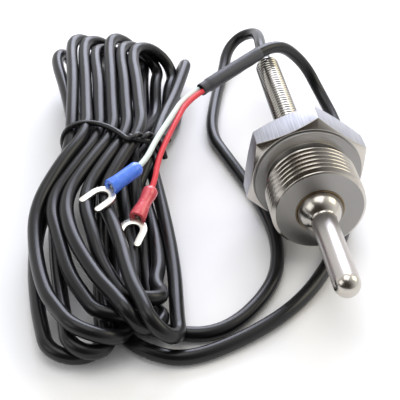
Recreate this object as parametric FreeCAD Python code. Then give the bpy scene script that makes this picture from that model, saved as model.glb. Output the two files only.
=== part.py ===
"""Screw-in resistance temperature sensor: strain-relief spring, tied cable and two fork terminals.

Millimetres, +Z up, floor at z = 0. The sensor's axis is level and the probe points to -Y.
The sensor stands on one corner of its hexagon, turned a little about its axis, as it lies on a table.
"s" is the distance along the axis from the fitting's washer face, positive towards the probe's tip.
"""
import FreeCAD
import Part
import math
import os
from FreeCAD import Rotation, Vector

os.makedirs("parts", exist_ok=True)

# Process fitting: hexagon, washer face, relief neck and G 3/4 male thread, turned in one piece
HEX_FLATS = 32.0
HEX_ROLL = 6.8              # degrees the hexagon is turned from standing square on its corner
HEX_THICK = 9.5
HEX_CHAMFER_R = 15.7        # circle left on either side by the corner chamfers
CHAMFER_ANGLE = 30.0
WASHER_R = 15.2
WASHER_HIGH = 1.0
NECK_R = 12.0
NECK_LONG = 2.4
THREAD_R = 13.22            # half the major diameter of the thread
THREAD_END = 15.4
THREAD_CHAMFER = 1.0
THREAD_PITCH = 1.814
THREAD_DEPTH = 1.16
THREAD_SIDES = 32           # facets round each ridge of the thread
CREST_TRIM = 0.12           # height taken off each ridge to leave a round land
BORE_REAR = -4.5            # where the bore for the sheath ends and the ferrule's begins
MERGE = 1.0                 # how far a cutter, or a piece that is fused, passes the face it crosses

# Probe: closed stainless tube with a ball shoulder welded into the fitting's end face
SHEATH_R = 3.5
SHEATH_WALL = 0.7
BALL_R = 6.4
BALL_SEAT = 3.0             # depth of the ball's collar in the fitting
BALL_INSET = 0.6            # ball's centre behind the end face
BALL_FILLET = 1.2
TIP_END = 49.0
TIP_FLOOR = 2.0             # thickness of the closed end

# Sensing element and what holds it
ELEMENT_R = 1.6
ELEMENT_LONG = 10.0
ELEMENT_GAP = 0.8           # element's end to the inside of the closed end
WIRE_R = 0.4
WIRE_OFFSET = 0.8

# Tail: ferrule pressed in behind the hexagon, close-wound spring on it, cable inside
FERRULE_R = 2.75
FERRULE_LONG = 19.5
SPRING_WIRE = 1.15
SPRING_LONG = 55.5
SPRING_SIDES = 12           # facets round each turn of the spring
CABLE_R = 2.0
CORD_SIDES = 8              # facets round the cable and the leads
CABLE_DEPTH = 12.0          # cable's inner end behind the washer face
EXIT_RUN = 11.5             # straight run of the cable out of the spring and out of the sleeve
ARC_SHARE = 0.45            # share of the shorter run that a cord's arc takes up

# Split of the cable: heat-shrink sleeve and two leads
SLEEVE_R = 2.25
LEAD_R = 0.7
LEAD_EXIT = 7.0             # straight run of a lead out of the sleeve
LEAD_SPREAD = 0.95          # lead's centre off the sleeve's axis

# Insulated fork terminals
BARREL_R = 1.45
TERMINAL_R = 2.0
TERMINAL_LONG = 10.3
BARREL_START = 3.0
ENTRY_RUN = 5.0             # straight run of a lead into its terminal
CONDUCTOR_R = 0.5
CONDUCTOR_END = 8.5
BARREL_PROUD = 1.0          # bare end of the barrel in front of its sleeve
CRIMP_START = 2.6
CRIMP_LONG = 3.8
CRIMP_SLOPE = 1.2
CRIMP_DEEP = 0.35
FORK_WIDE = 7.2
FORK_SLOT = 4.3
FORK_CENTRE = 15.2
FORK_LONG = 20.2
FORK_THICK = 0.8
FORK_DROP = 1.0             # blade below the barrel's axis
NECK_WIDE = 2.6
NECK_GAP = 0.4              # neck's ends clear of the sleeve and of the slot

# Tie: plastic-coated wire once round the hank, with a short twisted tail
TIE_Y = 22.0
TIE_WIDE = 1.6
TIE_THICK = 1.0
TIE_CLEAR = 0.3             # tie's clearance of the hank
TAIL_R = 0.9
TAIL_LONG = 8.0
TAIL_HIGH = 15.5            # tail's height above the floor
TAIL_HEADING = Vector(0.95, 0.2, 0.0)

# Derived sizes
HEX_CORNER = HEX_FLATS / math.sqrt(3.0)
AXIS_Z = HEX_CORNER * math.cos(math.radians(HEX_ROLL))
HEX_FRONT = -WASHER_HIGH
HEX_REAR = HEX_FRONT - HEX_THICK
SPRING_END = HEX_REAR - SPRING_LONG
FACE_Y = (TIP_END + SPRING_END) / 2.0    # washer face, with the origin midway between tip and spring end
SPRING_R = FERRULE_R + SPRING_WIRE
BLADE_LOW = -FORK_DROP - FORK_THICK / 2.0
CABLE_START = Vector(0.0, FACE_Y - SPRING_END, AXIS_Z)

# Route of the cable from the spring to the hank
CABLE_A = [
    CABLE_START,
    CABLE_START + Vector(0.0, EXIT_RUN, 0.0),
    Vector(1.2, 80.5, 16.2),
    Vector(1.9, 92.2, 12.6),
    Vector(-4.6, 96.0, 9.0),
    Vector(-11.1, 92.2, 5.4),
    Vector(-13.6, 80.0, 2.4),
    Vector(-17.2, 60.0, 2.05),
    Vector(-20.2, 40.0, 2.05),
    Vector(-15.2, 11.0, 2.05),
    Vector(-11.6, -14.0, 2.05),
    Vector(-14.6, -35.0, 2.05),
    Vector(-31.0, -50.5, 2.05),
    Vector(-47.0, -48.4, 2.4),
]

# Route of the cable from the heat-shrink sleeve back to the hank
SPLIT_END = Vector(-24.9, 38.0, 22.0)
SLEEVE_END = Vector(-3.6, 54.3, 25.0)
SLEEVE_HEADING = (SLEEVE_END - SPLIT_END).normalize()
CABLE_B = [
    SLEEVE_END,
    SLEEVE_END + SLEEVE_HEADING * EXIT_RUN,
    Vector(13.5, 64.0, 18.0),
    Vector(18.5, 57.5, 8.0),
    Vector(21.0, 40.0, 2.05),
    Vector(17.0, 16.0, 2.05),
    Vector(13.8, -7.0, 2.05),
    Vector(5.0, -26.0, 2.05),
    Vector(-10.0, -43.0, 2.05),
    Vector(-30.0, -55.0, 2.05),
    Vector(-52.0, -54.5, 2.8),
]

# Leads and terminals: rear end, pointing direction and sideways direction of each fork
BLUE_REAR = Vector(-47.25, 0.1, 20.4)
BLUE_AHEAD = Vector(-0.757, -0.645, -0.105)
BLUE_SIDE = Vector(0.66, -0.75, 0.0)
RED_REAR = Vector(-44.15, -4.1, 15.5)
RED_AHEAD = Vector(-0.443, -0.867, -0.227)
RED_SIDE = Vector(0.87, -0.49, 0.0)
WHITE_VIA = [Vector(-35.3, 24.6, 21.7), Vector(-41.1, 12.6, 21.6)]
RED_VIA = [Vector(-34.4, 23.2, 20.2), Vector(-37.75, 15.8, 19.2), Vector(-41.35, 6.6, 18.0)]

# Outline of the tied hank, whose right side is a lower shelf: distance along Y, then left, right,
# underside, top, right end of the top, height of the shelf and corner cut of each section
WAIST_LONG = 6.0
HANK_WAIST = (-71.0, -43.0, 6.6, 20.6, -52.0, 20.6, 4.2)
HANK = [
    (84.5, -65.0, -50.5, 3.0, 18.5, -57.0, 16.0, 3.0),
    (76.0, -71.0, -36.0, 1.2, 21.5, -45.0, 15.5, 3.6),
    (64.0, -71.4, -29.5, 0.3, 22.0, -42.0, 15.0, 4.2),
    (44.0, -70.9, -33.0, 1.2, 21.8, -43.0, 17.0, 4.2),
    (TIE_Y + WAIST_LONG / 2.0, *HANK_WAIST),
    (TIE_Y - WAIST_LONG / 2.0, *HANK_WAIST),
    (8.0, -76.0, -44.5, 4.6, 18.8, -53.0, 14.5, 3.6),
    (-2.0, -78.7, -43.4, 2.2, 17.1, -55.0, 12.0, 3.2),
    (-14.0, -79.7, -41.5, 0.3, 16.4, -59.5, 9.4, 3.0),
    (-29.0, -79.7, -40.3, 0.3, 15.4, -59.0, 7.8, 3.0),
    (-44.0, -78.0, -40.0, 0.4, 14.6, -52.0, 9.0, 3.0),
    (-53.0, -73.0, -40.0, 0.5, 14.2, -50.0, 9.0, 3.0),
    (-60.5, -55.0, -42.0, 0.6, 12.0, -49.5, 9.0, 2.4),
]


def on_axis(s, r):
    """Point at distance s along the sensor's axis and height r above it."""
    return Vector(0.0, FACE_Y - s, AXIS_Z + r)


def edge(a, b):
    return Part.LineSegment(on_axis(*a), on_axis(*b)).toShape()


def bow(a, mid, b):
    return Part.Arc(on_axis(*a), on_axis(*mid), on_axis(*b)).toShape()


def spin(edges):
    """Solid of revolution about the sensor's axis."""
    face = Part.Face(Part.Wire(Part.__sortEdges__(edges)))
    return face.revolve(on_axis(0.0, 0.0), Vector(0.0, -1.0, 0.0), 360.0)


def spin_polygon(points):
    return spin([edge(a, b) for a, b in zip(points, points[1:] + points[:1])])


def rod(s0, s1, radius, x=0.0):
    """Round bar along the sensor's axis, x to one side of it."""
    front = on_axis(max(s0, s1), 0.0) + Vector(x, 0.0, 0.0)
    return Part.makeCylinder(radius, abs(s1 - s0), front, Vector(0.0, 1.0, 0.0))


def ring(s0, s1, outer, inner):
    return rod(s0, s1, outer).cut(rod(s0, s1, inner))


def corners_round(centre, spoke, axis, sides):
    """Corners of a regular outline: the spoke turned about the axis, once for each side."""
    return [centre + Rotation(axis, 360.0 * k / sides).multVec(spoke) for k in range(sides)]


def outline(corners):
    return Part.makePolygon(corners + corners[:1])


def faceted(outlines, flat=True):
    """Closed solid of flat facets through a row of outlines, split in triangles where not flat."""
    faces = [Part.Face(outline(outlines[0])), Part.Face(outline(outlines[-1]))]
    for near, far in zip(outlines, outlines[1:]):
        for k in range(len(near)):
            facets = [[near[k - 1], near[k], far[k], far[k - 1]]]
            if not flat:
                facets = [[near[k - 1], near[k], far[k]], [near[k - 1], far[k], far[k - 1]]]
            faces.extend(Part.Face(outline(facet)) for facet in facets)
    return Part.Solid(Part.Shell(faces))


def ridged(profile, sides):
    """Faceted solid about the sensor's axis through points of (distance, radius)."""
    back = Vector(0.0, 1.0, 0.0)
    return faceted([corners_round(on_axis(s, 0.0), Vector(0.0, 0.0, r), back, sides) for s, r in profile])


def tube(name, points, radius):
    """Cord of straight runs joined by tangent arcs, eight-sided to stay light."""
    edges = []
    tightest = float("inf")
    start = points[0]
    for before, corner, after in zip(points, points[1:], points[2:]):
        back = (before - corner).normalize()
        ahead = (after - corner).normalize()
        half_turn = (math.pi - back.getAngle(ahead)) / 2.0
        cut = ARC_SHARE * min(before.distanceToPoint(corner), after.distanceToPoint(corner))
        bend = cut / math.tan(half_turn)
        centre = corner + (back + ahead).normalize() * (bend / math.cos(half_turn))
        middle = centre + (corner - centre).normalize() * bend
        edges.append(Part.LineSegment(start, corner + back * cut).toShape())
        edges.append(Part.Arc(corner + back * cut, middle, corner + ahead * cut).toShape())
        start = corner + ahead * cut
        tightest = min(tightest, bend)
    edges.append(Part.LineSegment(start, points[-1]).toShape())
    path = Part.Wire(edges)
    heading = points[1] - points[0]
    spoke = heading.cross(Vector(0.0, 0.0, 1.0)).normalize() * radius
    print(name, "length", round(path.Length, 1), "tightest arc", round(tightest, 1))
    return path.makePipe(Part.Face(outline(corners_round(points[0], spoke, heading, CORD_SIDES))))


def hexagon_body():
    """Hexagon with its corners chamfered on both sides."""
    roll = math.radians(HEX_ROLL)
    spoke = Vector(math.sin(roll), 0.0, math.cos(roll)) * HEX_CORNER
    corners = corners_round(on_axis(HEX_FRONT, 0.0), spoke, Vector(0.0, 1.0, 0.0), 6)
    prism = Part.Face(outline(corners)).extrude(Vector(0.0, HEX_THICK, 0.0))
    outside = HEX_CORNER + MERGE
    drop = (outside - HEX_CHAMFER_R) * math.tan(math.radians(CHAMFER_ANGLE))
    envelope = spin_polygon([
        (HEX_FRONT, 0.0),
        (HEX_FRONT, HEX_CHAMFER_R),
        (HEX_FRONT - drop, outside),
        (HEX_REAR + drop, outside),
        (HEX_REAR, HEX_CHAMFER_R),
        (HEX_REAR, 0.0),
    ])
    return prism.common(envelope)


def process_fitting():
    """Fitting in one piece, its thread drawn as a ridge for each turn with a round land on top."""
    first = NECK_LONG + THREAD_R - NECK_R
    last = THREAD_END - THREAD_CHAMFER
    turns = round((last - first) / THREAD_PITCH)
    pitch = (last - first) / turns
    crest_r = (THREAD_R + CREST_TRIM) / math.cos(math.pi / THREAD_SIDES)
    ridges = [(NECK_LONG, NECK_R)]
    for k in range(turns):
        ridges.append((first + k * pitch, crest_r))
        ridges.append((first + (k + 0.5) * pitch, THREAD_R - THREAD_DEPTH))
    ridges.append((last, crest_r))
    ridges.append((THREAD_END, THREAD_R - THREAD_CHAMFER))
    thread = ridged(ridges, THREAD_SIDES).common(rod(NECK_LONG, THREAD_END, THREAD_R))
    body = hexagon_body().fuse([
        rod(HEX_FRONT - MERGE, 0.0, WASHER_R),
        rod(HEX_FRONT, NECK_LONG, NECK_R),
        thread,
    ])
    body = body.cut(rod(BORE_REAR, THREAD_END, SHEATH_R))
    body = body.cut(rod(HEX_REAR, BORE_REAR, FERRULE_R))
    body = body.cut(rod(THREAD_END - BALL_SEAT, THREAD_END, BALL_R))
    return body.removeSplitter()


def probe_sheath():
    ball_s = THREAD_END - BALL_INSET
    collar_s = THREAD_END - BALL_SEAT
    reach = BALL_R + BALL_FILLET
    fillet_r = SHEATH_R + BALL_FILLET
    fillet_s = ball_s + math.sqrt(reach ** 2 - fillet_r ** 2)
    share = BALL_R / reach
    meet = (ball_s + (fillet_s - ball_s) * share, fillet_r * share)
    angle = math.atan2(meet[1], meet[0] - ball_s)
    half = (angle + math.pi / 2.0) / 2.0
    ball_mid = (ball_s + BALL_R * math.cos(half), BALL_R * math.sin(half))
    lean = (angle + math.pi + 1.5 * math.pi) / 2.0
    fillet_mid = (fillet_s + BALL_FILLET * math.cos(lean), fillet_r + BALL_FILLET * math.sin(lean))
    dome_s = TIP_END - SHEATH_R
    dome_mid = (dome_s + SHEATH_R * math.sqrt(0.5), SHEATH_R * math.sqrt(0.5))
    bore_r = SHEATH_R - SHEATH_WALL
    bore_end = TIP_END - TIP_FLOOR
    return spin([
        edge((BORE_REAR, bore_r), (BORE_REAR, SHEATH_R)),
        edge((BORE_REAR, SHEATH_R), (collar_s, SHEATH_R)),
        edge((collar_s, SHEATH_R), (collar_s, BALL_R)),
        edge((collar_s, BALL_R), (ball_s, BALL_R)),
        bow((ball_s, BALL_R), ball_mid, meet),
        bow(meet, fillet_mid, (fillet_s, SHEATH_R)),
        edge((fillet_s, SHEATH_R), (dome_s, SHEATH_R)),
        bow((dome_s, SHEATH_R), dome_mid, (TIP_END, 0.0)),
        edge((TIP_END, 0.0), (bore_end, 0.0)),
        edge((bore_end, 0.0), (bore_end, bore_r)),
        edge((bore_end, bore_r), (BORE_REAR, bore_r)),
    ])


def coil_spring():
    """Close-wound spring: a stack of faceted turns with a groove between each two."""
    turns = round(SPRING_LONG / SPRING_WIRE)
    pitch = SPRING_LONG / turns
    groove_r = FERRULE_R + SPRING_WIRE / 2.0
    profile = [(HEX_REAR, groove_r)]
    for k in range(turns):
        profile.append((HEX_REAR - (k + 0.5) * pitch, SPRING_R))
        profile.append((HEX_REAR - (k + 1.0) * pitch, groove_r))
    return ridged(profile, SPRING_SIDES).cut(rod(HEX_REAR, SPRING_END, FERRULE_R))


def placed(shape, rear, ahead, side):
    """Moves a terminal, drawn along +X, to its place."""
    turn = Rotation(ahead, side, ahead.cross(side), "XZY")
    shape.Placement = FreeCAD.Placement(rear, turn)
    return shape


def along_x(x0, x1, radius):
    return Part.makeCylinder(radius, x1 - x0, Vector(x0, 0.0, 0.0), Vector(1.0, 0.0, 0.0))


def slab(x0, x1, wide):
    return Part.makeBox(x1 - x0, wide, FORK_THICK, Vector(x0, -wide / 2.0, BLADE_LOW))


def disc(x, radius):
    return Part.makeCylinder(radius, FORK_THICK, Vector(x, 0.0, BLADE_LOW))


def fork():
    """Crimp barrel and flat fork of one terminal."""
    prong = (FORK_WIDE - FORK_SLOT) / 4.0
    prong_y = (FORK_WIDE + FORK_SLOT) / 4.0
    blade = disc(FORK_CENTRE, FORK_WIDE / 2.0).fuse(slab(FORK_CENTRE, FORK_LONG - prong, FORK_WIDE))
    blade = blade.cut(disc(FORK_CENTRE, FORK_SLOT / 2.0))
    blade = blade.cut(slab(FORK_CENTRE, FORK_LONG + MERGE, FORK_SLOT))
    for y in (-prong_y, prong_y):
        tip = disc(FORK_LONG - prong, prong)
        tip.translate(Vector(0.0, y, 0.0))
        blade = blade.fuse(tip)
    neck = slab(TERMINAL_LONG + NECK_GAP, FORK_CENTRE - FORK_SLOT / 2.0 - NECK_GAP, NECK_WIDE)
    barrel = along_x(BARREL_START, TERMINAL_LONG + BARREL_PROUD, BARREL_R)
    barrel = barrel.cut(along_x(BARREL_START, CONDUCTOR_END, CONDUCTOR_R))
    return barrel.fuse([neck, blade]).removeSplitter()


def terminal_sleeve(crimp):
    """Insulating sleeve of a terminal, pressed in round its waist by the depth of the crimp."""
    waist = TERMINAL_R - crimp
    profile = [
        (0.0, BARREL_R),
        (0.0, TERMINAL_R),
        (CRIMP_START, TERMINAL_R),
        (CRIMP_START + CRIMP_SLOPE, waist),
        (CRIMP_START + CRIMP_LONG, waist),
        (CRIMP_START + CRIMP_LONG + CRIMP_SLOPE, TERMINAL_R),
        (TERMINAL_LONG, TERMINAL_R),
        (TERMINAL_LONG, BARREL_R),
    ]
    face = Part.Face(outline([Vector(x, r, 0.0) for x, r in profile]))
    return face.revolve(Vector(0.0, 0.0, 0.0), Vector(1.0, 0.0, 0.0), 360.0).removeSplitter()


def hank_section(y, left, right, low, top, top_end, shelf, cut):
    """Corners of the outline across the hank, with cut corners and a lower shelf on its right."""
    return [
        Vector(left + cut, y, low),
        Vector(right - cut, y, low),
        Vector(right, y, low + cut),
        Vector(right, y, shelf - cut),
        Vector(right - cut, y, shelf),
        Vector(top_end + cut, y, shelf),
        Vector(top_end, y, top),
        Vector(left + cut, y, top),
        Vector(left, y, top - cut),
        Vector(left, y, low + cut),
    ]


def waist_face(off):
    """Section of the hank's waist, larger all round by off."""
    left, right, low, top, top_end, shelf, cut = HANK_WAIST
    front = TIE_Y - TIE_WIDE / 2.0
    wider_cut = cut + off * (2.0 - math.sqrt(2.0))
    corners = hank_section(
        front, left - off, right + off, low - off, top + off, top_end, shelf + off, wider_cut)
    return Part.Face(outline(corners))


def hank_tie():
    """Flat tie once about the hank's waist, with its twisted tail."""
    band = waist_face(TIE_CLEAR + TIE_THICK).cut(waist_face(TIE_CLEAR))
    band = band.extrude(Vector(0.0, TIE_WIDE, 0.0))
    knot = Vector(HANK_WAIST[1] + TIE_CLEAR + TIE_THICK / 2.0, TIE_Y, TAIL_HIGH)
    tail = Part.makeCylinder(TAIL_R, TAIL_LONG, knot, TAIL_HEADING)
    return band.fuse(tail).removeSplitter()


def lead(name, side, via, rear, ahead):
    """Insulated lead from the split to inside its terminal."""
    across = SLEEVE_HEADING.cross(Vector(0.0, 0.0, 1.0)).normalize() * (side * LEAD_SPREAD)
    start = SPLIT_END + across
    end = rear + ahead * BARREL_START
    route = [start, start - SLEEVE_HEADING * LEAD_EXIT] + via + [end - ahead * ENTRY_RUN, end]
    return tube(name, route, LEAD_R)


def conductor():
    return along_x(BARREL_START, CONDUCTOR_END, CONDUCTOR_R)


bore_r = SHEATH_R - SHEATH_WALL
bore_end = TIP_END - TIP_FLOOR
element_end = bore_end - ELEMENT_GAP
element_start = element_end - ELEMENT_LONG
cable_s = -CABLE_DEPTH

element = rod(element_start, element_end, ELEMENT_R)
white_wire = rod(cable_s, element_start, WIRE_R, -WIRE_OFFSET)
red_wire = rod(cable_s, element_start, WIRE_R, WIRE_OFFSET)
filler = rod(BORE_REAR, bore_end, bore_r).cut(element).cut(white_wire).cut(red_wire)
potting = rod(cable_s, BORE_REAR, CABLE_R).cut(white_wire).cut(red_wire)
ferrule = ring(BORE_REAR, BORE_REAR - FERRULE_LONG, FERRULE_R, CABLE_R)

hank = faceted([hank_section(*row) for row in HANK], flat=False)
blue_ahead = BLUE_AHEAD.normalize()
red_ahead = RED_AHEAD.normalize()
sleeve_run = SLEEVE_END - SPLIT_END

parts = {
    "process_fitting": process_fitting(),
    "probe_sheath": probe_sheath(),
    "sensing_element": element,
    "white_element_wire": white_wire,
    "red_element_wire": red_wire,
    "sheath_filler": filler,
    "potting_plug": potting,
    "tail_ferrule": ferrule,
    "strain_relief_spring": coil_spring(),
    "cable_in_spring": rod(cable_s, SPRING_END, CABLE_R),
    "cable_to_hank": tube("cable_to_hank", CABLE_A, CABLE_R).cut(hank),
    "cable_hank": hank,
    "hank_tie": hank_tie(),
    "cable_to_split": tube("cable_to_split", CABLE_B, CABLE_R).cut(hank),
    "split_sleeve": Part.makeCylinder(SLEEVE_R, sleeve_run.Length, SPLIT_END, sleeve_run),
    "white_lead": lead("white_lead", -1.0, WHITE_VIA, BLUE_REAR, blue_ahead),
    "red_lead": lead("red_lead", 1.0, RED_VIA, RED_REAR, red_ahead),
    "blue_terminal_sleeve": placed(terminal_sleeve(0.0), BLUE_REAR, blue_ahead, BLUE_SIDE),
    "blue_terminal_fork": placed(fork(), BLUE_REAR, blue_ahead, BLUE_SIDE),
    "white_conductor": placed(conductor(), BLUE_REAR, blue_ahead, BLUE_SIDE),
    "red_terminal_sleeve": placed(terminal_sleeve(CRIMP_DEEP), RED_REAR, red_ahead, RED_SIDE),
    "red_terminal_fork": placed(fork(), RED_REAR, red_ahead, RED_SIDE),
    "red_conductor": placed(conductor(), RED_REAR, red_ahead, RED_SIDE),
}

for name, shape in parts.items():
    shape.exportStep("parts/" + name + ".step")
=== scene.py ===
import math

import bmesh
import bpy
import numpy as np
from mathutils import Matrix, Vector


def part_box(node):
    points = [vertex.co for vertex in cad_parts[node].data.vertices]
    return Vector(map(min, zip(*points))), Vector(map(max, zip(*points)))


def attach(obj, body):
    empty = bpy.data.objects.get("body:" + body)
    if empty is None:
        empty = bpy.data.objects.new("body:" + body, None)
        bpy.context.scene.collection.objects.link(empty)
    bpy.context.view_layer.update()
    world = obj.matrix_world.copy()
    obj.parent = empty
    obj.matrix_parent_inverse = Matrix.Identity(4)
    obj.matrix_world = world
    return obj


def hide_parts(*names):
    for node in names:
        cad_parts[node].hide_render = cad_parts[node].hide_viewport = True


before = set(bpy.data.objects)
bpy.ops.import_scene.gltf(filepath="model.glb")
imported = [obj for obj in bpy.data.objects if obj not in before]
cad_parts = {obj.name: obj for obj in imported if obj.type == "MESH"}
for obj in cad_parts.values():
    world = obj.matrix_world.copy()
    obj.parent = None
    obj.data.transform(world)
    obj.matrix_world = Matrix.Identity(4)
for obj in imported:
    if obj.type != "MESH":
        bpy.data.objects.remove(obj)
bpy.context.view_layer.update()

scene = bpy.context.scene
scene.view_settings.view_transform = "Standard"


# Process fitting: hexagon, washer face, relief neck and pipe thread, turned in one piece from
# drawn stainless hexagon bar. The corners are chamfered on both sides, the washer face is faced
# off on the lathe, and the thread starts in a chamfer and runs out into the neck.
MM = 0.001
fitting_low, fitting_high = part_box("process_fitting")
AXIS_HEIGHT = (fitting_low[2] + fitting_high[2]) / 2
THREAD_END = 15.4 * MM
FACE_Y = fitting_low[1] + THREAD_END
ON_AXIS = Matrix.Translation((0, FACE_Y, AXIS_HEIGHT)) @ Matrix.Rotation(math.radians(90), 4, "X")
HEX_FLATS = 32 * MM
HEX_ROLL = math.radians(6.8)
HEX_FRONT = -1.0 * MM
HEX_THICK = 9.5 * MM
HEX_BACK = HEX_FRONT - HEX_THICK
CHAMFER_R = 15.7 * MM
CHAMFER_SLOPE = math.tan(math.radians(30))
EDGE_BREAK = 0.18 * MM
THREAD_R = 13.22 * MM
THREAD_PITCH = 1.814 * MM
THREAD_DEPTH = 1.16 * MM
THREAD_PHASE = 0.4
THREAD_CHAMFER = 1.0 * MM
THREAD_STEPS = 72
NECK_R = 12.0 * MM
NECK_LONG = 2.4 * MM
NECK_FILLET = 0.3 * MM
FILLET_MID = 0.08 * MM
WASHER_R = 15.2 * MM
RIM_BREAK = 0.2 * MM
RIM_MID = 0.06 * MM
COLLAR_DEEP = 0.5 * MM
END_FACE_R = NECK_R - 0.4 * MM
SEAT_R = 6.5 * MM
SEAT_BREAK = 0.25 * MM
SEAT_DEEP = 1.0 * MM
TIGHT = 0.001 * MM


def only(geom, kind):
    """The vertices or the edges among what a mesh operation gives back."""
    return [part for part in geom if isinstance(part, kind)]


def draw(shell, profile):
    """Line of edges through points of (distance along the local Z axis, radius)."""
    row = [shell.verts.new((radius, 0, along)) for along, radius in profile]
    for first, second in zip(row, row[1:]):
        shell.edges.new((first, second))


def lathe(profile, steps):
    """Shell turned about the local Z axis from points of (distance along it, radius)."""
    shell = bmesh.new()
    draw(shell, profile)
    bmesh.ops.spin(shell, geom=shell.verts[:] + shell.edges[:], cent=(0, 0, 0), axis=(0, 0, 1),
                   angle=math.tau, steps=steps, use_merge=True)
    bmesh.ops.remove_doubles(shell, verts=shell.verts, dist=TIGHT)
    bmesh.ops.recalc_face_normals(shell, faces=shell.faces)
    return shell


def piece(name, shell, materials, sharp=30):
    """Finished object at the origin, shaded smooth up to the given corner angle."""
    for face in shell.faces:
        face.smooth = True
    mesh = bpy.data.meshes.new(name)
    shell.to_mesh(mesh)
    shell.free()
    mesh.set_sharp_from_angle(angle=math.radians(sharp))
    for finish in materials:
        mesh.materials.append(finish)
    made = bpy.data.objects.new(name, mesh)
    scene.collection.objects.link(made)
    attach(made, "root")
    return made


def as_mesh(made):
    """Mesh of an object with its modifiers, or its curve's thickness, worked in."""
    return bpy.data.meshes.new_from_object(made.evaluated_get(bpy.context.evaluated_depsgraph_get()))


blank = bmesh.new()
bmesh.ops.create_circle(blank, cap_ends=True, segments=6, radius=HEX_FLATS / math.sqrt(3),
                        matrix=Matrix.Translation((0, 0, HEX_BACK)) @ Matrix.Rotation(-HEX_ROLL, 4, "Z"))
raised = bmesh.ops.extrude_face_region(blank, geom=blank.faces[:])["geom"]
bmesh.ops.translate(blank, vec=(0, 0, HEX_THICK), verts=only(raised, bmesh.types.BMVert))
bmesh.ops.recalc_face_normals(blank, faces=blank.faces)
bar = piece("hexagon_bar", blank, [])
outside = HEX_FLATS * 0.6
drop = (outside - CHAMFER_R) * CHAMFER_SLOPE
cutter = piece("chamfer_form", lathe([
    (HEX_BACK, 0.0),
    (HEX_BACK, CHAMFER_R),
    (HEX_BACK + drop, outside),
    (HEX_FRONT - drop, outside),
    (HEX_FRONT, CHAMFER_R),
    (HEX_FRONT, 0.0),
], steps=144), [])
chamfering = bar.modifiers.new("chamfering", "BOOLEAN")
chamfering.operation = "INTERSECT"
chamfering.object = cutter
chamfered = as_mesh(bar)
for form in (bar, cutter):
    bpy.data.objects.remove(form)

# One ridge of the thread, in shares of its pitch and of its depth.
THREAD_FORM = [(0.0, 0.0), (0.08, 0.06), (0.42, 0.92), (0.5, 1.0), (0.58, 0.92), (0.92, 0.06), (1.0, 0.0)]
fitting = bmesh.new()
draw(fitting, [(THREAD_PITCH * (along - THREAD_PHASE), THREAD_R - THREAD_DEPTH * (1 - high))
               for along, high in THREAD_FORM])
turns = math.ceil(THREAD_END / THREAD_PITCH) + 1
bmesh.ops.spin(fitting, geom=fitting.verts[:] + fitting.edges[:], cent=(0, 0, 0), axis=(0, 0, 1),
               dvec=(0, 0, THREAD_PITCH / THREAD_STEPS), angle=math.tau * turns,
               steps=THREAD_STEPS * turns)
bmesh.ops.remove_doubles(fitting, verts=fitting.verts, dist=TIGHT)
for end, way in ((NECK_LONG, -1), (THREAD_END, 1)):
    bmesh.ops.bisect_plane(fitting, geom=fitting.verts[:] + fitting.edges[:] + fitting.faces[:],
                           plane_co=(0, 0, end), plane_no=(0, 0, way), clear_outer=True)
for vert in fitting.verts:
    cone = min(NECK_R + vert.co.z - NECK_LONG, THREAD_R - THREAD_CHAMFER + THREAD_END - vert.co.z)
    vert.co.xy *= min(1.0, cone / vert.co.xy.length)


def turn_on(shell, start, rows):
    """Carries the open edge at the given distance on through rows of (distance, radius)."""
    rim = [e for e in shell.edges if e.is_boundary and abs(e.verts[0].co.z - start) < TIGHT]
    for along, radius in rows:
        grown = bmesh.ops.extrude_edge_only(shell, edges=rim)["geom"]
        rim = only(grown, bmesh.types.BMEdge)
        for vert in only(grown, bmesh.types.BMVert):
            vert.co.xy *= radius / vert.co.xy.length
            vert.co.z = along


# Places in the fitting's list of materials, in which the drawn bar comes first.
FACED, POLISHED = 1, 2
for face in fitting.faces:
    face.material_index = POLISHED
turn_on(fitting, THREAD_END, [
    (THREAD_END, END_FACE_R),
    (THREAD_END, SEAT_R + SEAT_BREAK),
    (THREAD_END - SEAT_BREAK, SEAT_R),
    (THREAD_END - SEAT_DEEP, SEAT_R),
])
turn_on(fitting, NECK_LONG, [
    (NECK_FILLET, NECK_R),
    (FILLET_MID, NECK_R + FILLET_MID),
    (0.0, NECK_R + NECK_FILLET),
    (0.0, WASHER_R - RIM_BREAK),
    (-RIM_MID, WASHER_R - RIM_MID),
    (-RIM_BREAK, WASHER_R),
    (HEX_FRONT - COLLAR_DEEP, WASHER_R),
])
for face in fitting.faces:
    along = face.calc_center_median().z
    if along < NECK_LONG or along > THREAD_END - TIGHT:
        face.material_index = FACED
bmesh.ops.recalc_face_normals(fitting, faces=fitting.faces)

HEX_CREASE = math.radians(20)
CHAMFER_TILT = 0.2
END_TILT = 0.95
hexagon = bmesh.new()
hexagon.from_mesh(chamfered)
bmesh.ops.remove_doubles(hexagon, verts=hexagon.verts, dist=TIGHT)
corners = [e for e in hexagon.edges if e.calc_face_angle(0.0) > HEX_CREASE]
bmesh.ops.bevel(hexagon, geom=corners, offset=EDGE_BREAK, offset_type="OFFSET", affect="EDGES",
                segments=2, profile=0.5, material=-1, clamp_overlap=True)
for face in hexagon.faces:
    tilt = abs(face.normal.z)
    if tilt > CHAMFER_TILT:
        face.material_index = FACED if tilt > END_TILT else POLISHED
hexagon.to_mesh(chamfered)
hexagon.free()
fitting.from_mesh(chamfered)
bmesh.ops.transform(fitting, matrix=ON_AXIS, verts=fitting.verts)


def linear(code):
    """Linear colour, with alpha, of an sRGB hex code."""
    parts = [int(code[i:i + 2], 16) / 255 for i in (0, 2, 4)]
    return [c / 12.92 if c <= 0.04045 else ((c + 0.055) / 1.055) ** 2.4 for c in parts] + [1.0]


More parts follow.
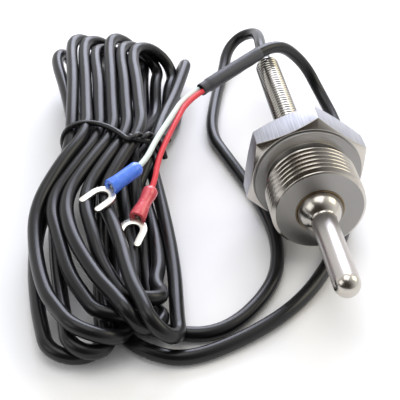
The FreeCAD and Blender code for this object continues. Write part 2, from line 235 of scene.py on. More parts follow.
def add(tree, kind, inputs, **settings):
    """New shader node with its settings, each input set to a value or linked to a socket."""
    made = tree.nodes.new("ShaderNode" + kind)
    for name, value in settings.items():
        setattr(made, name, value)
    for name, value in inputs.items():
        if isinstance(value, bpy.types.NodeSocket):
            tree.links.new(value, made.inputs[name])
        else:
            made.inputs[name].default_value = value
    return made


def surface(name, inputs):
    """New material with its shader's constant values."""
    made = bpy.data.materials.new(name)
    made.use_nodes = True
    for socket, value in inputs.items():
        made.node_tree.nodes["Principled BSDF"].inputs[socket].default_value = value
    return made


def feed(material, socket, source):
    """Links a node's output to an input of the material's shader."""
    material.node_tree.links.new(source, material.node_tree.nodes["Principled BSDF"].inputs[socket])


def grains(material, size, detail, stretch=(1, 1, 1)):
    """Noise in the object's own space with grains of the given size, divided by the stretch."""
    spot = add(material.node_tree, "TexCoord", {})
    spaced = add(material.node_tree, "Mapping", {"Vector": spot.outputs["Object"], "Scale": stretch})
    made = add(material.node_tree, "TexNoise",
               {"Vector": spaced.outputs["Vector"], "Scale": 1 / size, "Detail": detail})
    return made.outputs["Fac"]


def tinted(material, pattern, dark, light, dark_to=0.0, light_from=1.0):
    """Colour that runs with the pattern from one linear colour to another."""
    ramp = add(material.node_tree, "ValToRGB", {"Fac": pattern})
    ramp.color_ramp.elements[0].position = dark_to
    ramp.color_ramp.elements[0].color = dark
    ramp.color_ramp.elements[1].position = light_from
    ramp.color_ramp.elements[1].color = light
    feed(material, "Base Color", ramp.outputs["Color"])


def glossed(material, pattern, low, high):
    """Roughness that runs with the pattern between two values."""
    spread = add(material.node_tree, "MapRange", {"Value": pattern, "To Min": low, "To Max": high})
    feed(material, "Roughness", spread.outputs["Result"])


def embossed(material, pattern, strength, height):
    """Fine relief that follows the pattern."""
    bump = add(material.node_tree, "Bump", {"Height": pattern, "Strength": strength, "Distance": height})
    feed(material, "Normal", bump.outputs["Normal"])


# Drawn stainless bar: pale flats with fine die lines along the bar that soften what they mirror.
# The lines are finer than 0.1 mm, and are drawn 0.4 mm apart to show.
DIE_LINES = 0.4 * MM
drawn_steel = surface("drawn_stainless_steel", {"Metallic": 1.0, "Anisotropic": 0.3})
die_lines = grains(drawn_steel, DIE_LINES, 3.0, stretch=(1.0, 0.03, 1.0))
tinted(drawn_steel, die_lines, linear("9c9da4"), linear("bfc0c7"), dark_to=0.3, light_from=0.7)
glossed(drawn_steel, die_lines, 0.3, 0.5)
embossed(drawn_steel, die_lines, 0.3, 0.03 * MM)

# Faced stainless: fine rings left by the lathe tool, drawn 0.3 mm apart, that spread the light
# into two fans across the washer face. At a scale of 1 the rings would be 0.314 m apart.
FACING_RINGS = 0.3 * MM
RINGS_AT_SCALE_1 = 0.314
turned_steel = surface("faced_stainless_steel", {
    "Base Color": linear("979592"), "Metallic": 1.0, "Anisotropic": 0.7})
tree = turned_steel.node_tree
spot = add(tree, "TexCoord", {})
centred = add(tree, "Mapping", {"Vector": spot.outputs["Object"], "Location": (0, 0, -AXIS_HEIGHT)})
rings = add(tree, "TexWave", {"Vector": centred.outputs["Vector"], "Distortion": 1.5, "Detail": 2.0,
                              "Scale": RINGS_AT_SCALE_1 / FACING_RINGS},
            wave_type="RINGS", rings_direction="Y")
glossed(turned_steel, rings.outputs["Fac"], 0.24, 0.4)
embossed(turned_steel, rings.outputs["Fac"], 0.1, 0.02 * MM)
round_axis = add(tree, "Tangent", {}, direction_type="RADIAL", axis="Y")
feed(turned_steel, "Tangent", round_axis.outputs["Tangent"])

# Polished stainless: bright, faintly warm, with soft scuffs a few millimetres long.
polished_steel = surface("polished_stainless_steel", {"Base Color": linear("c2bdb5"), "Metallic": 1.0})
glossed(polished_steel, grains(polished_steel, 3 * MM, 4.0), 0.15, 0.27)

turned_fitting = piece("turned_fitting", fitting, [drawn_steel, turned_steel, polished_steel], sharp=24)
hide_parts("process_fitting")


# Probe: a stainless tube with its tip rounded shut, swelled to a ball where it seats in the end
# of the fitting, satin along its length and polished on the ball and the tip.
sheath_low, sheath_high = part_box("probe_sheath")
SHEATH_R = 3.5 * MM
BALL_R = (sheath_high[0] - sheath_low[0]) / 2
BALL_AT = THREAD_END - 0.6 * MM
BALL_TAIL = 2 * MM
BALL_FILLET = 1.2 * MM
POLISH_PAST = 1.0 * MM
TUBE_RINGS = 12
TIP_END = FACE_Y - sheath_low[1]
DOME_AT = TIP_END - SHEATH_R


def arc(centre, radius, start, end, steps):
    """Points of (distance, radius) on an arc between two angles in degrees."""
    angles = [math.radians(start + (end - start) * i / steps) for i in range(steps + 1)]
    return [(centre[0] + radius * math.cos(a), centre[1] + radius * math.sin(a)) for a in angles]


fillet_r = SHEATH_R + BALL_FILLET
fillet_at = BALL_AT + math.sqrt((BALL_R + BALL_FILLET) ** 2 - fillet_r ** 2)
meeting = math.degrees(math.atan2(fillet_r, fillet_at - BALL_AT))
probe = lathe(
    [(BALL_AT - BALL_TAIL, BALL_R)]
    + arc((BALL_AT, 0), BALL_R, 90, meeting, steps=20)
    + arc((fillet_at, fillet_r), BALL_FILLET, meeting + 180, 270, steps=8)[1:]
    + [(fillet_at + (DOME_AT - fillet_at) * i / TUBE_RINGS, SHEATH_R) for i in range(1, TUBE_RINGS)]
    + arc((DOME_AT, 0), SHEATH_R, 90, 0, steps=12), steps=72)
for face in probe.faces:
    satin = fillet_at + POLISH_PAST < face.calc_center_median().z < DOME_AT
    face.material_index = 0 if satin else 1
bmesh.ops.transform(probe, matrix=ON_AXIS, verts=probe.verts)

# Satin stainless tube: ground round its girth, so its highlight runs along it and blurs. The marks
# are about 8 mm long round the tube and half a millimetre apart along it.
satin_steel = surface("satin_stainless_tube", {
    "Base Color": linear("bdb8b4"), "Metallic": 1.0, "Anisotropic": 0.3})
grind = grains(satin_steel, 1.0, 3.0, stretch=(120, 1800, 120))
glossed(satin_steel, grind, 0.22, 0.42)
embossed(satin_steel, grind, 0.08, 0.02 * MM)

probe_tube = piece("probe_tube", probe, [satin_steel, polished_steel])
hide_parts("probe_sheath")


# Weld bead: one pass round the ball joins it to the end of the fitting. The ripples are where the
# pool froze, and the heat left a straw to brown tint.
BEAD_R = 0.26 * MM
BEAD_RING = SEAT_R + 0.1 * MM
BEAD_RIPPLES = 48
RIPPLE_HIGH = 0.05 * MM
bead = lathe([(THREAD_END + a, BEAD_RING + b) for a, b in arc((0, 0), BEAD_R, 0, 360, steps=12)[:-1]]
             + [(THREAD_END + BEAD_R, BEAD_RING)], steps=144)
for vert in bead.verts:
    vert.co.z += RIPPLE_HIGH * math.sin(BEAD_RIPPLES * math.atan2(vert.co.y, vert.co.x))
bmesh.ops.transform(bead, matrix=ON_AXIS, verts=bead.verts)

# Heat-tinted stainless: oxide film from straw to brown, uneven along the bead.
tinted_steel = surface("heat_tinted_stainless_steel", {"Metallic": 1.0, "Roughness": 0.26})
tinted(tinted_steel, grains(tinted_steel, 4 * MM, 3.0), linear("6b5a45"), linear("8f7f66"),
       dark_to=0.3, light_from=0.7)

weld_bead = piece("weld_bead", bead, [tinted_steel])


# Inside the probe: a ceramic resistance element on two bare wires, set in cement, with a plug of
# resin behind it and the cable clamped in a thin ferrule.
INNER_SHADE = 0.82
# Of each: node, material, colour, metallic and roughness. A faint mottle is all they give the eye.
inner_finishes = (
    ("sensing_element", "alumina_ceramic", "ece6dc", 0.0, 0.5),
    ("white_element_wire", "tinned_copper_wire", "d9d4ca", 1.0, 0.3),
    ("red_element_wire", "tinned_copper_wire", "d9d4ca", 1.0, 0.3),
    ("sheath_filler", "magnesia_cement", "d6d1c6", 0.0, 0.85),
    ("potting_plug", "epoxy_resin", "3a352e", 0.0, 0.4),
    ("tail_ferrule", "stainless_ferrule", "c2beb7", 1.0, 0.3),
)
for node, name, colour, metallic, roughness in inner_finishes:
    finish = surface(name, {"Metallic": metallic, "Roughness": roughness})
    shaded = [INNER_SHADE * c for c in linear(colour)[:3]] + [1.0]
    tinted(finish, grains(finish, MM, 3.0), shaded, linear(colour))
    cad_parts[node].data.materials.clear()
    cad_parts[node].data.materials.append(finish)


# Strain-relief spring: hard-drawn wire wound close, pushed over the ferrule, that keeps the cable
# from kinking where it leaves the fitting.
spring_low, spring_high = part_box("strain_relief_spring")
SPRING_TURNS = 39
SPRING_PITCH = (spring_high[1] - spring_low[1]) / SPRING_TURNS
SPRING_WIRE_R = 0.68 * MM
SPRING_R = (spring_high[0] - spring_low[0]) / 2 - SPRING_WIRE_R
SPRING_STEPS = 32
wire_start = Matrix.Translation((SPRING_R, 0, 0)) @ Matrix.Rotation(math.radians(90), 4, "X")
coil = bmesh.new()
bmesh.ops.create_circle(coil, segments=10, radius=SPRING_WIRE_R, matrix=wire_start)
bmesh.ops.spin(coil, geom=coil.verts[:] + coil.edges[:], cent=(0, 0, 0), axis=(0, 0, 1),
               dvec=(0, 0, SPRING_PITCH / SPRING_STEPS), angle=math.tau * (SPRING_TURNS - 1),
               steps=SPRING_STEPS * (SPRING_TURNS - 1))
bmesh.ops.holes_fill(coil, edges=[e for e in coil.edges if e.is_boundary])
bmesh.ops.recalc_face_normals(coil, faces=coil.faces)
bmesh.ops.translate(coil, vec=(0, 0, FACE_Y - spring_high[1] + SPRING_PITCH / 2), verts=coil.verts)
bmesh.ops.transform(coil, matrix=ON_AXIS, verts=coil.verts)

# Bright spring wire: smooth from the drawing die, with a slight grey bloom that varies by turn.
spring_steel = surface("bright_spring_wire", {"Base Color": linear("9a9791"), "Metallic": 1.0})
glossed(spring_steel, grains(spring_steel, 2 * MM, 3.0), 0.1, 0.22)

spring_coil = piece("spring_coil", coil, [spring_steel])
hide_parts("strain_relief_spring")


# Cable: two cores in a round black PVC jacket. It leaves the spring, runs to the floor and into a
# hank of eight long turns, and comes out again to the split where its cores part.
CABLE_R = 2.0
FLOOR_CLEAR = 2.05
ROUTE_OUT = [
    (0, 57.5, 18.345), (0, 69, 18.345), (1.5, 80.8, 16.4), (2.2, 92.6, 13), (-3, 96.8, 9.6),
    (-8.4, 93, 5.8), (-11.2, 82, 2.8), (-16.2, 66, 2.05), (-21.2, 43, 2.05), (-17.6, 29, 2.05),
    (-10.6, 2, 2.05), (-9.2, -18, 2.05), (-14.2, -35.5, 2.05), (-30.5, -52, 2.05), (-47, -48.4, 2.4),
    (-52, -42, 2.2), (-52, -24, 2.2), (-52.5, -1, 6),
]
ROUTE_BACK = [
    (-47.5, 4, 9), (-53.5, -13, 5), (-56, -29, 2.4), (-56, -46, 2.2), (-52, -54.5, 2.8),
    (-41, -59.6, 2.05), (-24, -53, 2.05), (-8, -42, 2.05), (4, -26, 2.05), (13.8, -7, 2.05),
    (18.3, 16, 2.05), (22.2, 42, 2.05), (19, 58, 6.5), (14, 63.6, 15.6), (3.5, 59.7, 26),
    (-3.6, 54.3, 25),
]
LOOSE_OUT = 15
LOOSE_BACK = 12
# Far bends: x and z of the leg below, reach in y, x and z of the strand on top.
FAR_BENDS = [
    (-64.5, 3, 82, -69.8, 17), (-53, 9, 86.5, -64.4, 20), (-48.6, 9, 84.5, -60.2, 20),
    (-44.6, 9, 79.5, -56.1, 20), (-40.4, 9, 84, -52.1, 20), (-36, 8.5, 79.5, -48.1, 20),
    (-31.5, 7, 78, -44, 20), (-30.8, 2.2, 77, -26.4, 12),
]
# Waist under the tie: x and z of each strand on its way out, and on its way back.
WAIST_Y = 22
WAIST_OUT = [(-54, 10.6), (-58, 10.6), (-56.2, 14.2), (-60.4, 14.2),
             (-52, 14.2), (-47.8, 14.2), (-50, 10.6), (-44.6, 10.6)]
WAIST_BACK = [(-64.6, 14.2), (-65.6, 18), (-61.6, 18), (-57.6, 18),
              (-53.4, 18), (-49.2, 18), (-45, 18), (-41, 14.2)]
# Near bends: x at the shoulder, left leg x and z, the same where it starts to bend, lean, y of the
# bend, right leg x and z.
NEAR_BENDS = [
    (-77.2, -78.2, 4.3, -75.5, 4, 0.15, -49, -60.2, 2.2),
    (-72, -72, 8, -69.5, 7.4, 0.1, -52, -58.4, 6),
    (-77.2, -77.4, 11, -70, 11, 0.45, -50, -54.6, 5.8),
    (-73.4, -70.6, 13.6, -62.8, 11.4, 0.5, -46, -50.6, 5.6),
    (-69, -67.8, 15.6, -56.4, 11.8, 0.5, -49.5, -48, 2.4),
    (-64, -61.6, 15, -55, 10.8, 0.45, -42, -45.2, 6.8),
    (-59, -55, 14.4, -50.4, 13.6, 0.25, -53, -42.6, 5.8),
]
LOW_LEG = 2.2
BEND_LEAD = 11


def part_way(start, end, share):
    """Value that lies the given share of the way from start to end."""
    return start + (end - start) * share


def half_round(first, last, towards):
    """Control points of a half-round bend from one strand to another, bowed the given way."""
    middle = (Vector(first) + Vector(last)) / 2
    spoke = (Vector(first) - Vector(last)) / 2
    bow = Vector(towards).normalized() * spoke.length
    angles = [math.radians(22.5 + 45 * i) for i in range(4)]
    bend = [middle + (spoke * math.cos(a) + bow * math.sin(a)) / math.cos(angles[0]) for a in angles]
    lead = bow * math.tan(angles[0])
    return [Vector(first) - lead] + bend + [Vector(last) - lead]


# Each turn goes out low from the waist, round the far bend, back on top to the waist, and then
# down, round the near bend and up to the waist again.
route = list(ROUTE_OUT)
for k, (low_x, low_z, reach, top_x, top_z) in enumerate(FAR_BENDS):
    out_x, out_z = WAIST_OUT[k]
    back_x, back_z = WAIST_BACK[k]
    bend_y = reach - math.hypot(top_x - low_x, top_z - low_z) / 2
    route += [
        (out_x, WAIST_Y, out_z),
        (part_way(out_x, low_x, 0.4), WAIST_Y + 14, part_way(out_z, LOW_LEG, 0.5)),
        (part_way(out_x, low_x, 0.85), WAIST_Y + 30, LOW_LEG + 0.4),
    ]
    route += half_round((low_x, bend_y, low_z), (top_x, bend_y, top_z), (0.25, 1, 0))
    route += [
        (part_way(top_x, back_x, 0.4), part_way(bend_y, WAIST_Y, 0.4), top_z),
        (part_way(top_x, back_x, 0.75), WAIST_Y + 15, part_way(top_z, back_z, 0.5)),
        (back_x, WAIST_Y, back_z),
    ]
    if k < len(NEAR_BENDS):
        shoulder_x, left_x, left_z, bend_x, bend_z, lean, near_y, right_x, right_z = NEAR_BENDS[k]
        next_x, next_z = WAIST_OUT[k + 1]
        route += [
            (part_way(back_x, shoulder_x, 0.5), WAIST_Y - 13, part_way(back_z, left_z, 0.3)),
            (shoulder_x, WAIST_Y - 28, part_way(back_z, left_z, 0.8)),
            (left_x, WAIST_Y - 44, left_z),
            (bend_x - lean * BEND_LEAD, near_y + BEND_LEAD, part_way(left_z, bend_z, 0.6)),
        ]
        route += half_round((bend_x, near_y, bend_z),
                            (right_x, near_y + lean * (right_x - bend_x), right_z), (lean, -1, 0))
        route += [
            (right_x, WAIST_Y - 48, right_z),
            (part_way(right_x, next_x, 0.4), WAIST_Y - 23, part_way(right_z, next_z, 0.5)),
        ]
route = np.array([tuple(point) for point in route + ROUTE_BACK])

# The turns settle: wherever two strands of the hank press into each other they push apart, each by
# half of the overlap. Spots that are near neighbours along the cable don't push.
SPOTS = 5
NEIGHBOURS = 12
TOUCHING = 1.97 * CABLE_R
ROUNDS = 60
STRIDE = 1.3
blend = np.zeros((SPOTS * (len(route) - 2), len(route)))
for i in range(len(route) - 2):
    for j in range(SPOTS):
        t = (j + 0.5) / SPOTS
        blend[SPOTS * i + j, i:i + 3] = ((1 - t) ** 2 / 2, (1 + 2 * t - 2 * t * t) / 2, t * t / 2)
place = np.arange(len(blend))
strangers = np.abs(place[:, None] - place[None, :]) > NEIGHBOURS
hank = slice(LOOSE_OUT, len(route) - LOOSE_BACK)
for _ in range(ROUNDS):
    spots = blend @ route
    between = spots[:, None, :] - spots[None, :, :]
    distance = np.linalg.norm(between, axis=2) + 1e-9
    press = np.where(strangers, np.maximum(TOUCHING - distance, 0) / distance, 0)
    push = 0.5 * (press[:, :, None] * between).sum(axis=1)
    push[:, 2] += 0.5 * np.maximum(FLOOR_CLEAR - spots[:, 2], 0)
    move = blend.T @ push / blend.sum(axis=0)[:, None]
    move[1:-1] = (move[:-2] + 2 * move[1:-1] + move[2:]) / 4
    route[hank] += STRIDE * move[hank]


def cord(name, points, radius, finish):
    """Round cord on one smooth spline with the given control points, in millimetres."""
    curve = bpy.data.curves.new(name, "CURVE")
    curve.dimensions = "3D"
    curve.resolution_u = 10
    curve.bevel_depth = radius * MM
    curve.bevel_resolution = 4
    curve.use_fill_caps = True
    line = curve.splines.new("NURBS")
    line.points.add(len(points) - 1)
    for point, at in zip(line.points, points):
        point.co = (at[0] * MM, at[1] * MM, at[2] * MM, 1)
    line.order_u = 3
    line.use_endpoint_u = True
    line.use_smooth = True
    curve.materials.append(finish)
    made = bpy.data.objects.new(name, curve)
    scene.collection.objects.link(made)
    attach(made, "root")
    return made


# Black PVC: extruded, nearly smooth, with a broad soft sheen broken by faint dulled patches.
pvc = surface("black_pvc", {"Specular IOR Level": 0.36})
patches = grains(pvc, 6 * MM, 4.0)
tinted(pvc, patches, linear("0b0b0d"), linear("131315"))
glossed(pvc, patches, 0.24, 0.36)
embossed(pvc, grains(pvc, 0.4 * MM, 2.0), 0.06, 0.05 * MM)

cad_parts["cable_in_spring"].data.materials.clear()
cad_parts["cable_in_spring"].data.materials.append(pvc)
cable = cord("cable", route, CABLE_R, pvc)
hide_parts("cable_to_hank", "cable_hank", "cable_to_split")


# Hank tie: one length of plastic-coated wire, drawn slantwise round the waist of the turns. Its
# two ends are twisted together on top and left to spread.
TIE_R = 0.85
TIE_ROUND = [
    (-49.8, 14.6, 20.6), (-52.4, 18.6, 21), (-56.4, 22.8, 21), (-60.9, 24.8, 21), (-64.6, 24.6, 20.9),
    (-68, 23.4, 19.4), (-69.4, 22.2, 15.5), (-67.4, 21.4, 10.6), (-62, 20.2, 7.8), (-56, 19, 7.6),
    (-49.6, 17.4, 7.6), (-43, 16, 8.6), (-39.6, 15.4, 13), (-42, 14.8, 19), (-48.6, 14.2, 20.8),
]
TWIST_START = Vector((-48.6, 14.6, 21.2))
TWIST_END = Vector((-41.2, 16.6, 19.4))
TWIST_POINTS = 10
TWIST_TURN = 0.8
TWIST_SPREAD = 1.1
TIE_TAILS = (((-39.6, 19.6, 18.4), (-36.8, 20.2, 15.4)), ((-39.4, 15.8, 17), (-38.6, 15, 12.6)))
twist_way = (TWIST_END - TWIST_START).normalized()
twist_side = twist_way.cross(Vector((0, 0, 1))).normalized()
twist_rise = twist_side.cross(twist_way)
ends = []
for start, tail in zip((0, math.pi), TIE_TAILS):
    twist = []
    for i in range(TWIST_POINTS):
        angle = start + TWIST_TURN * i
        off = (twist_side * math.cos(angle) + twist_rise * math.sin(angle)) * TIE_R * TWIST_SPREAD
        twist.append(TWIST_START.lerp(TWIST_END, i / (TWIST_POINTS - 1)) + off)
    ends.append(twist + [Vector(point) for point in tail])
tie_way = ends[0][::-1] + TIE_ROUND + ends[1]

# Glossy black polythene over wire: smoother and shinier than the jacket beneath it.
tie_plastic = surface("polythene_coated_wire", {"Base Color": linear("161618")})
wrinkle = grains(tie_plastic, 1.5 * MM, 3.0)
glossed(tie_plastic, wrinkle, 0.18, 0.38)
embossed(tie_plastic, wrinkle, 0.15, 0.1 * MM)

form = cord("tie_form", tie_way, TIE_R, tie_plastic)
drawn_tie = as_mesh(form)
bpy.data.objects.remove(form)
tie = bmesh.new()
tie.from_mesh(drawn_tie)
wire_tie = piece("wire_tie", tie, [tie_plastic], sharp=50)
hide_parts("hank_tie")


# Heat-shrink: a sleeve shrunk over the end of the jacket and the start of the two cores. It hugs
# the cable, steps in past the jacket's end, and is cut square where the cores come out.
SPLIT_END = Vector((-24.9, 38, 22))
SLEEVE_END = Vector((-3.6, 54.3, 25))
shrink_long = (SLEEVE_END - SPLIT_END).length
shrink_way = (SLEEVE_END - SPLIT_END).normalized()
shrink_across = shrink_way.cross(Vector((0, 0, 1))).normalized()
shrink_rise = shrink_across.cross(shrink_way)
SHRINK_PLACE = Matrix.Translation(SPLIT_END) @ Matrix(
    (shrink_across, shrink_rise, shrink_way)).transposed().to_4x4()
shrink = lathe([
    (2.2, 1.62), (0.2, 1.7), (0.0, 1.84), (0.12, 1.98), (0.6, 2.02), (2.2, 1.96), (2.9, 2.02),
    (3.5, 2.2), (4.2, 2.25), (6.5, 2.2), (9.0, 2.25), (12.0, 2.21), (16.0, 2.26), (19.0, 2.2),
    (22.0, 2.25), (24.5, 2.21), (shrink_long - 0.5, 2.24), (shrink_long - 0.1, 2.2),
    (shrink_long, 2.1), (shrink_long - 0.1, 2.0),
], steps=32)
bmesh.ops.transform(shrink, matrix=Matrix.Scale(MM, 4) @ SHRINK_PLACE, verts=shrink.verts)

# Heat-shrunk polyolefin: dark grey and matt, faintly wrinkled.
polyolefin = surface("heat_shrunk_polyolefin", {"Base Color": linear("3c3d42")})
folds = grains(polyolefin, 2.5 * MM, 4.0)
glossed(polyolefin, folds, 0.38, 0.58)
embossed(polyolefin, folds, 0.2, 0.15 * MM)

heat_shrink = piece("heat_shrink", shrink, [polyolefin], sharp=50)
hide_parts("split_sleeve")


# Terminals: a stamped and tinned copper fork whose barrel is crimped on the bared strands of each
# core, under a nylon sleeve. The blue one is plain, the red one is squeezed in at its waist.
SLEEVE_R = 2.2
SLEEVE_LONG = 11.4
BARREL_R = 1.45
BARREL_FLAT = 0.8
FORK_CENTRE = 15.2
FORK_LONG = 20.2
FORK_WIDE = 8.4
FORK_SLOT = 4.3
FORK_THICK = 0.8
FORK_DROP = 1.0
FORK_BREAK = 0.14
FORK_STEPS = 18
TINE_ROUND = (FORK_WIDE - FORK_SLOT) / 4.2
ROOT_BEHIND = FORK_CENTRE - 0.93 * FORK_WIDE / 2
NECK_END = 9.6
STRAND_R = 0.16
STRAND_RING = 0.34
STRAND_START = 3.2
STRAND_END = 10.9
STRAND_UNEVEN = 0.25
UNEVEN_STEP = 2.3


def seat(rear, ahead, side):
    """Place of a terminal that is drawn along +X."""
    ahead = Vector(ahead).normalized()
    rise = ahead.cross(Vector(side)).normalized()
    return Matrix.Scale(MM, 4) @ Matrix.Translation(rear) @ Matrix(
        (ahead, rise.cross(ahead), rise)).transposed().to_4x4()


def lathe_along_x(profile, steps):
    """Shell turned about the +X axis from points of (distance along it, radius)."""
    shell = lathe(profile, steps)
    bmesh.ops.rotate(shell, cent=(0, 0, 0), matrix=Matrix.Rotation(math.radians(90), 3, "Y"),
                     verts=shell.verts)
    return shell


def stamped_fork():
    """Fork and barrel of one terminal, in millimetres along +X."""
    blade = bmesh.new()
    ends = [blade.verts.new((FORK_CENTRE, r, 0)) for r in (FORK_SLOT / 2, FORK_WIDE / 2)]
    start = blade.edges.new(ends)
    swept = bmesh.ops.spin(blade, geom=ends + [start], cent=(FORK_CENTRE, 0, 0), axis=(0, 0, 1),
                           angle=math.pi, steps=FORK_STEPS)
    for stub in ([start], only(swept["geom_last"], bmesh.types.BMEdge)):
        grown = bmesh.ops.extrude_edge_only(blade, edges=stub)["geom"]
        tip = only(grown, bmesh.types.BMVert)
        bmesh.ops.translate(blade, vec=(FORK_LONG - FORK_CENTRE, 0, 0), verts=tip)
        bmesh.ops.bevel(blade, geom=tip, offset=TINE_ROUND, offset_type="OFFSET",
                        affect="VERTICES", segments=5, profile=0.5, material=-1)
    rear = [e for e in blade.edges if e.is_boundary and all(v.co.x < ROOT_BEHIND for v in e.verts)]
    grown = bmesh.ops.extrude_edge_only(blade, edges=rear)["geom"]
    for vert in only(grown, bmesh.types.BMVert):
        vert.co.x = NECK_END
    bmesh.ops.recalc_face_normals(blade, faces=blade.faces)
    bmesh.ops.solidify(blade, geom=blade.faces[:], thickness=FORK_THICK)
    bmesh.ops.recalc_face_normals(blade, faces=blade.faces)
    rims = [e for e in blade.edges if e.calc_face_angle(0.0) > math.radians(60)]
    bmesh.ops.bevel(blade, geom=rims, offset=FORK_BREAK, offset_type="OFFSET", affect="EDGES", segments=2,
                    profile=0.5, material=-1, clamp_overlap=True)
    middle = sum(v.co.z for v in blade.verts) / len(blade.verts)
    bmesh.ops.translate(blade, vec=(0, 0, -FORK_DROP - middle), verts=blade.verts)
    barrel = lathe_along_x([
        (3.0, 0.6), (3.0, 1.35), (3.2, BARREL_R), (SLEEVE_LONG - 0.9, BARREL_R),
        (SLEEVE_LONG - 0.7, 1.35), (SLEEVE_LONG - 0.7, 0.95), (6.0, 0.9),
    ], steps=28)
    bmesh.ops.scale(barrel, vec=(1, 1, BARREL_FLAT), verts=barrel.verts)
    rolled = bpy.data.meshes.new("rolled_barrel")
    barrel.to_mesh(rolled)
    barrel.free()
    blade.from_mesh(rolled)
    bpy.data.meshes.remove(rolled)
    return blade


def nylon_sleeve(squeeze):
    """Sleeve of one terminal, in millimetres along +X, drawn in at its waist."""
    waist = SLEEVE_R - squeeze
    shoulder = part_way(SLEEVE_R, waist, 0.5)
    return lathe_along_x([
        (0.5, 0.75), (0.1, 0.85), (0.0, 1.1), (0.12, 1.55), (0.5, 1.85), (1.1, SLEEVE_R),
        (2.6, SLEEVE_R), (3.4, shoulder), (4.2, waist), (6.4, waist), (7.4, shoulder), (8.4, SLEEVE_R),
        (SLEEVE_LONG - 0.3, SLEEVE_R + 0.22), (SLEEVE_LONG, SLEEVE_R + 0.12), (SLEEVE_LONG, 1.3),
        (SLEEVE_LONG - 0.15, 1.18), (SLEEVE_LONG - 1.6, 1.15),
    ], steps=40)


def bared_strands():
    """Seven bare strands of a core, in millimetres along +X, one in the middle of six."""
    strands = bmesh.new()
    for i in range(7):
        turn = math.radians(60 * i)
        out = STRAND_RING if i else 0.0
        end = STRAND_END + STRAND_UNEVEN * math.sin(UNEVEN_STEP * i)
        at = Matrix.Translation((end, out * math.cos(turn), out * math.sin(turn)))
        ring = bmesh.ops.create_circle(strands, cap_ends=True, segments=10, radius=STRAND_R,
                                       matrix=at @ Matrix.Rotation(math.radians(90), 4, "Y"))
        caps = {f for v in ring["verts"] for f in v.link_faces}
        grown = bmesh.ops.extrude_face_region(strands, geom=list(caps))["geom"]
        bmesh.ops.translate(strands, vec=(STRAND_START - end, 0, 0), verts=only(grown, bmesh.types.BMVert))
    bmesh.ops.recalc_face_normals(strands, faces=strands.faces)
    return strands


# Tinned copper: near-white, soft-edged gleam, with faint marks of the stamping.
tinned_copper = surface("tinned_copper", {"Base Color": linear("e9e6de"), "Metallic": 1.0})
drag = grains(tinned_copper, 1.2 * MM, 4.0)
glossed(tinned_copper, drag, 0.22, 0.42)
embossed(tinned_copper, drag, 0.06, 0.05 * MM)

# Moulded nylon: deep even colour under a wet-looking skin, the red one slightly see-through.
nylons = {}
for word, colour, deep, clear in (("blue", "5a90fc", "4078f1", 0.0), ("red", "f4707a", "e84a56", 0.15)):
    nylons[word] = surface(word + "_nylon", {
        "Subsurface Weight": 0.15, "Subsurface Radius": (MM, MM, MM), "Transmission Weight": clear,
        "Coat Weight": 0.3, "Coat Roughness": 0.12, "IOR": 1.53})
    swirl = grains(nylons[word], 2 * MM, 2.0)
    tinted(nylons[word], swirl, linear(deep), linear(colour))
    glossed(nylons[word], swirl, 0.2, 0.34)

# Of each terminal: rear end of its sleeve, way it points, its side, and how far it is squeezed.
TERMINALS = {
    "blue": ((-47.25, 0.1, 20.4), (-0.757, -0.645, -0.105), (0.66, -0.75, 0.0), 0.0),
    "red": ((-44.15, -4.1, 15.5), (-0.443, -0.867, -0.227), (0.87, -0.49, 0.0), 0.3),
}
for word, (rear, ahead, side, squeeze) in TERMINALS.items():
    for name, shell, finish in ((word + "_fork", stamped_fork(), tinned_copper),
                                (word + "_sleeve", nylon_sleeve(squeeze), nylons[word]),
                                (word + "_strands", bared_strands(), tinned_copper)):
        bmesh.ops.transform(shell, matrix=seat(rear, ahead, side), verts=shell.verts)
        piece(name, shell, [finish], sharp=40)
    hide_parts(word + "_terminal_fork")
    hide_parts(word + "_terminal_sleeve")
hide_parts("white_conductor")
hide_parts("red_conductor")


# Leads: the cable's two cores, white and red, each stranded copper in soft PVC, that come out of
# the heat-shrink side by side and end in the terminals.
WHITE_ROUTE = [(-25.48, 38.75, 22), (-31.0, 34.53, 21.22), (-35.3, 24.6, 21.7), (-41.1, 12.6, 21.6)]
RED_ROUTE = [(-24.32, 37.25, 22), (-29.85, 33.02, 21.22), (-34.4, 23.2, 20.2), (-37.75, 15.8, 19.2),
             (-41.35, 6.6, 18)]
LEAD_R = 0.85
LEAD_STRAIGHT = 2
LEAD_INSIDE = 3
# Of each lead: its terminal, its points, its colour and a deeper one, its length in metres.
leads = (("white", "blue", WHITE_ROUTE, "ecf7f2", "d9ebe4", 0.05),
         ("red", "red", RED_ROUTE, "f0424c", "de3340", 0.05))
for word, terminal, points, colour, deep, long in leads:
    rear = Vector(TERMINALS[terminal][0])
    ahead = Vector(TERMINALS[terminal][1]).normalized()
    points = points + [rear - ahead * LEAD_STRAIGHT, rear + ahead * LEAD_INSIDE]

    # Soft PVC insulation: even colour, satin, with the faint unevenness of a thin extrusion.
    insulation = surface(word + "_pvc", {"Subsurface Weight": 0.1, "Subsurface Radius": (MM, MM, MM)})
    mottle = grains(insulation, 3 * MM, 3.0)
    tinted(insulation, mottle, linear(deep), linear(colour))
    glossed(insulation, mottle, 0.3, 0.45)

    core = cord(word + "_core", points, LEAD_R, insulation)
    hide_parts(word + "_lead")


# Floor, light and camera: a white table in a white tent that is open at the front left, where the
# metal mirrors a darker room. A large panel stands behind, weaker ones are overhead and at the left,
# and a warm window is at the right.
floor_shell = bmesh.new()
bmesh.ops.create_grid(floor_shell, x_segments=1, y_segments=1, size=2.0)
floor_mesh = bpy.data.meshes.new("floor")
floor_shell.to_mesh(floor_mesh)
floor_shell.free()
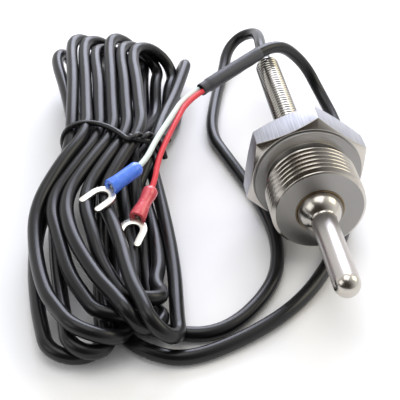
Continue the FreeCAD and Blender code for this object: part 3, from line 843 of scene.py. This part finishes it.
# White paper: matt, so that shadows lie soft on it.
paper = surface("white_paper", {
    "Base Color": linear("fdfdfd"), "Roughness": 0.9, "Specular IOR Level": 0.1})
floor_mesh.materials.append(paper)
floor = bpy.data.objects.new("floor", floor_mesh)
scene.collection.objects.link(floor)

# The tent shows white to the camera, lights the part less than it shows, and turns dark towards its
# opening only in what shines.
TENT_OPENING = Vector((-0.4, -0.8, 0.35)).normalized()
scene.world = bpy.data.worlds.new("studio")
scene.world.use_nodes = True
tree = scene.world.node_tree
light_path = add(tree, "LightPath", {})
seen = add(tree, "Math", {0: light_path.outputs["Is Camera Ray"], 1: light_path.outputs["Is Glossy Ray"]},
           operation="MAXIMUM")
shown = add(tree, "Math", {0: seen.outputs["Value"], 1: light_path.outputs["Is Transmission Ray"]},
            operation="MAXIMUM")
level = add(tree, "MapRange", {"Value": shown.outputs["Value"], "To Min": 0.57, "To Max": 1.0})
tree.links.new(level.outputs["Result"], tree.nodes["Background"].inputs["Strength"])
heading = add(tree, "TexCoord", {})
facing = add(tree, "VectorMath", {0: heading.outputs["Generated"], 1: TENT_OPENING},
             operation="DOT_PRODUCT")
opened = add(tree, "MapRange", {"Value": facing.outputs["Value"], "From Min": 0.0, "From Max": 0.85})
room = add(tree, "Math", {0: opened.outputs["Result"], 1: light_path.outputs["Is Glossy Ray"]},
           operation="MULTIPLY")
tent = add(tree, "ValToRGB", {"Fac": room.outputs["Value"]})
tent.color_ramp.elements[0].color = (1, 1, 1, 1)
tent.color_ramp.elements[1].color = linear("3e3731")
tree.links.new(tent.outputs["Color"], tree.nodes["Background"].inputs["Color"])

# Of each panel: place, size, power and colour.
PANEL_AIM = Vector((-0.03, 0.02, 0))
panels = (("back_panel", (0.18, 0.8, 0.5), 0.6, 7.5, "e8ebff"),
          ("overhead_panel", (-0.1, 0.05, 0.9), 0.6, 2.2, "ffffff"),
          ("side_panel", (-0.8, -0.2, 0.5), 0.5, 1.2, "ffffff"),
          ("window_panel", (0.75, 0.1, 0.6), 0.5, 2.0, "fff4d6"))
for name, at, size, power, colour in panels:
    lamp = bpy.data.lights.new(name, "AREA")
    lamp.shape = "SQUARE"
    lamp.size = size
    lamp.energy = power
    lamp.color = linear(colour)[:3]
    panel = bpy.data.objects.new(name, lamp)
    panel.location = at
    panel.rotation_euler = (PANEL_AIM - Vector(at)).to_track_quat("-Z", "Y").to_euler()
    scene.collection.objects.link(panel)

lens = bpy.data.cameras.new("camera")
lens.sensor_width = 36
lens.lens = 88.6
eye = bpy.data.objects.new("camera", lens)
eye.location = (-0.0584, -0.2308, 0.1797)
eye.rotation_euler = (math.radians(53.42), 0, math.radians(-7.05))
scene.collection.objects.link(eye)
scene.camera = eye

bpy.context.view_layer.update()
